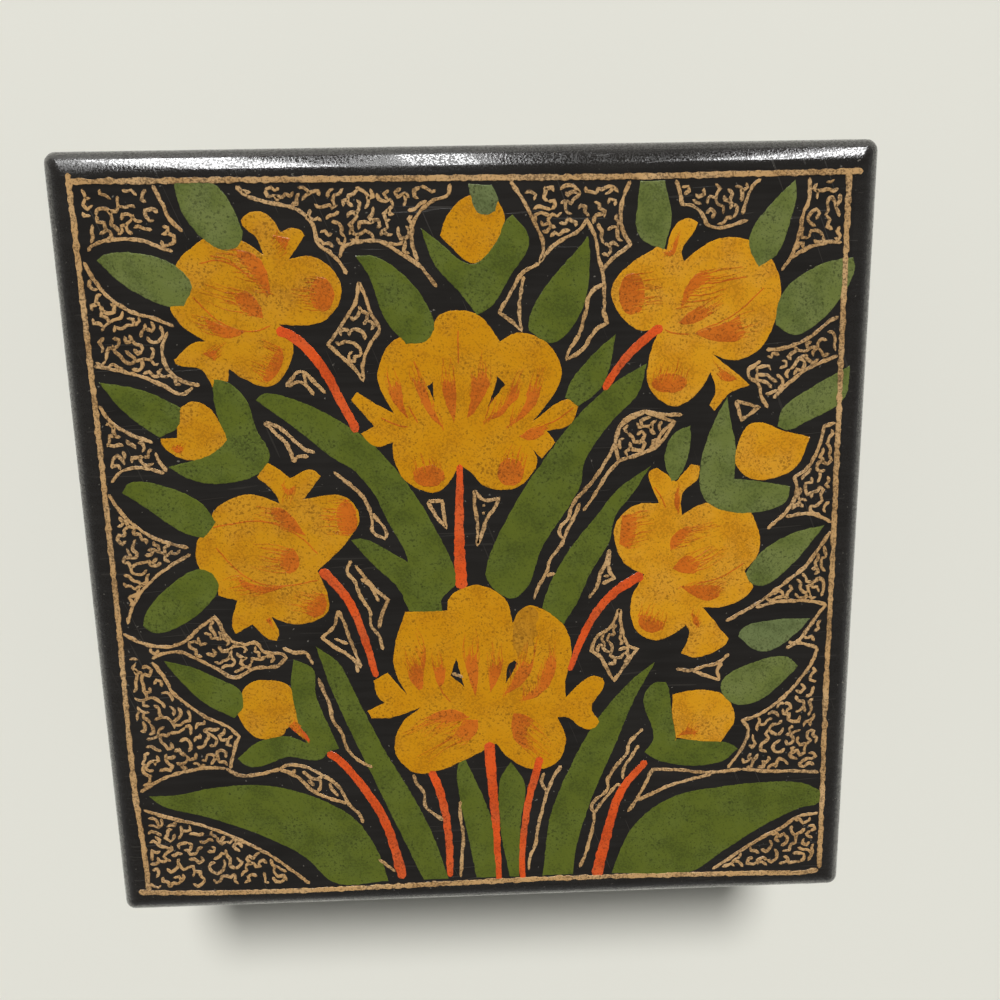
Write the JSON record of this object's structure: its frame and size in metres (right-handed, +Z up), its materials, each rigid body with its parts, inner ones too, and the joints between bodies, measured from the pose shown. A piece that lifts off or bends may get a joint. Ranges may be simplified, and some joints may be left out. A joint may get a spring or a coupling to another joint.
{
  "type": "kashmiri papier mache box",
  "caption": "Square black-lacquered papier mache box with a flower-painted lift-off lid that locates on an inner collar.",
  "frame": {"origin": "middle of the base's underside, on the surface that the box stands on", "axes": "+Z up through the lid, +Y towards the top of the painted face, +X towards its right-hand side"},
  "size_m": [0.127, 0.127, 0.051],
  "materials": {
    "black_lacquer": "papier mache board under glossy black lacquer",
    "collar_lacquer": "thin papier mache strip, satin black, rubbed along its top edge",
    "painted_lid": "papier mache board, black lacquer with a painted flower ornament under varnish",
    "gold_paint": "dull gold paint, brushed lines under varnish",
    "leaf_paint": "olive green paint under varnish",
    "petal_paint": "ochre yellow paint under varnish",
    "shading_paint": "orange red paint strokes under varnish",
    "stem_paint": "red orange paint under varnish"
  },
  "bodies": {
    "base": {"base_floor": "black_lacquer", "base_wall_front": "black_lacquer", "base_wall_right": "black_lacquer", "base_wall_back": "black_lacquer", "base_wall_left": "black_lacquer", "collar_front": "collar_lacquer", "collar_right": "collar_lacquer", "collar_back": "collar_lacquer", "collar_left": "collar_lacquer"},
    "lid": {"lid_wall_front": "black_lacquer", "lid_wall_right": "black_lacquer", "lid_wall_back": "black_lacquer", "lid_wall_left": "black_lacquer", "lid_top": "painted_lid"}
  },
  "joints": [
    {"name": "lid_lift", "type": "slide", "parent": "base", "child": "lid", "axis": [0, 0, 1], "range_m": [0, 0.025]}
  ]
}
